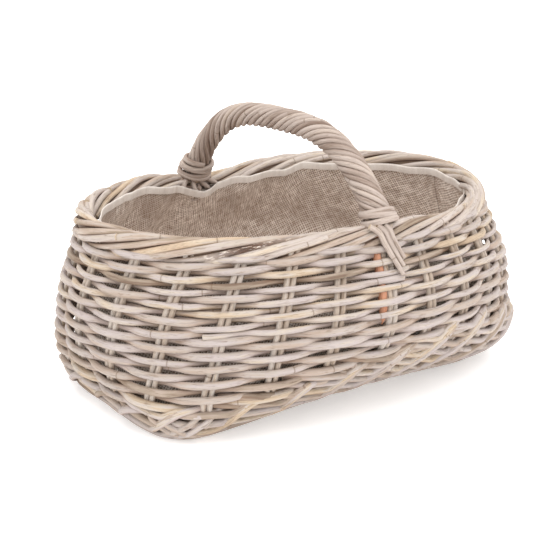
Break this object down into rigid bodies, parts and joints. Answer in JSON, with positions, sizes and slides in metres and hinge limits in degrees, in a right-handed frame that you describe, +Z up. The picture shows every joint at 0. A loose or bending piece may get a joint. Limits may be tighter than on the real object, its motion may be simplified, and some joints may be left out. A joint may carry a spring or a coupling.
{
  "type": "log carrier basket",
  "caption": "Oblong woven rattan log basket with a bulging side, rolled border, twisted carrying handle across the middle and a taped cloth liner.",
  "frame": {"origin": "middle of the footprint, on the floor", "axes": "+X along the basket, +Y across it from the front to the back, +Z up"},
  "size_m": [0.5518, 0.4286, 0.3071],
  "materials": {
    "rattan": "matt, greyed",
    "pale_rattan": "matt, lime washed",
    "peeled_wood": "bare, peeled",
    "hessian": "coarse woven cloth",
    "tape": "woven tape"
  },
  "bodies": {
    "root": {"base_hoop": "rattan", "base_mat": "rattan", "border_left_01": "pale_rattan", "border_left_02": "pale_rattan", "border_left_03": "pale_rattan", "border_right_01": "pale_rattan", "border_right_02": "pale_rattan", "border_right_03": "pale_rattan", "handle_binding_back": "pale_rattan", "handle_binding_front": "pale_rattan", "handle_bow": "peeled_wood", "handle_tail_01": "pale_rattan", "handle_tail_02": "pale_rattan", "handle_tail_03": "pale_rattan", "handle_twist_01": "rattan", "handle_twist_02": "rattan", "handle_twist_03": "rattan", "handle_twist_04": "rattan", "handle_twist_05": "rattan", "handle_twist_06": "rattan", "handle_twist_07": "rattan", "handle_twist_08": "rattan", "handle_twist_09": "rattan", "handle_twist_10": "rattan", "liner": "hessian", "liner_tape": "tape", "stake_pair_01": "rattan", "stake_pair_02": "rattan", "stake_pair_03": "rattan", "stake_pair_04": "rattan", "stake_pair_05": "rattan", "stake_pair_06": "rattan", "stake_pair_07": "rattan", "stake_pair_08": "rattan", "stake_pair_09": "rattan", "stake_pair_10": "rattan", "stake_pair_11": "rattan", "stake_pair_12": "rattan", "stake_pair_13": "rattan", "stake_pair_14": "rattan", "stake_pair_15": "rattan", "stake_pair_16": "rattan", "stake_pair_17": "rattan", "stake_pair_18": "rattan", "stake_pair_19": "rattan", "stake_pair_20": "rattan", "stake_pair_21": "rattan", "stake_pair_22": "rattan", "stake_pair_23": "rattan", "stake_pair_24": "rattan", "stake_pair_25": "rattan", "weaver_01": "pale_rattan", "weaver_02": "pale_rattan", "weaver_03": "pale_rattan", "weaver_04": "pale_rattan", "weaver_05": "pale_rattan", "weaver_06": "pale_rattan", "weaver_07": "pale_rattan"}
  },
  "joints": []
}
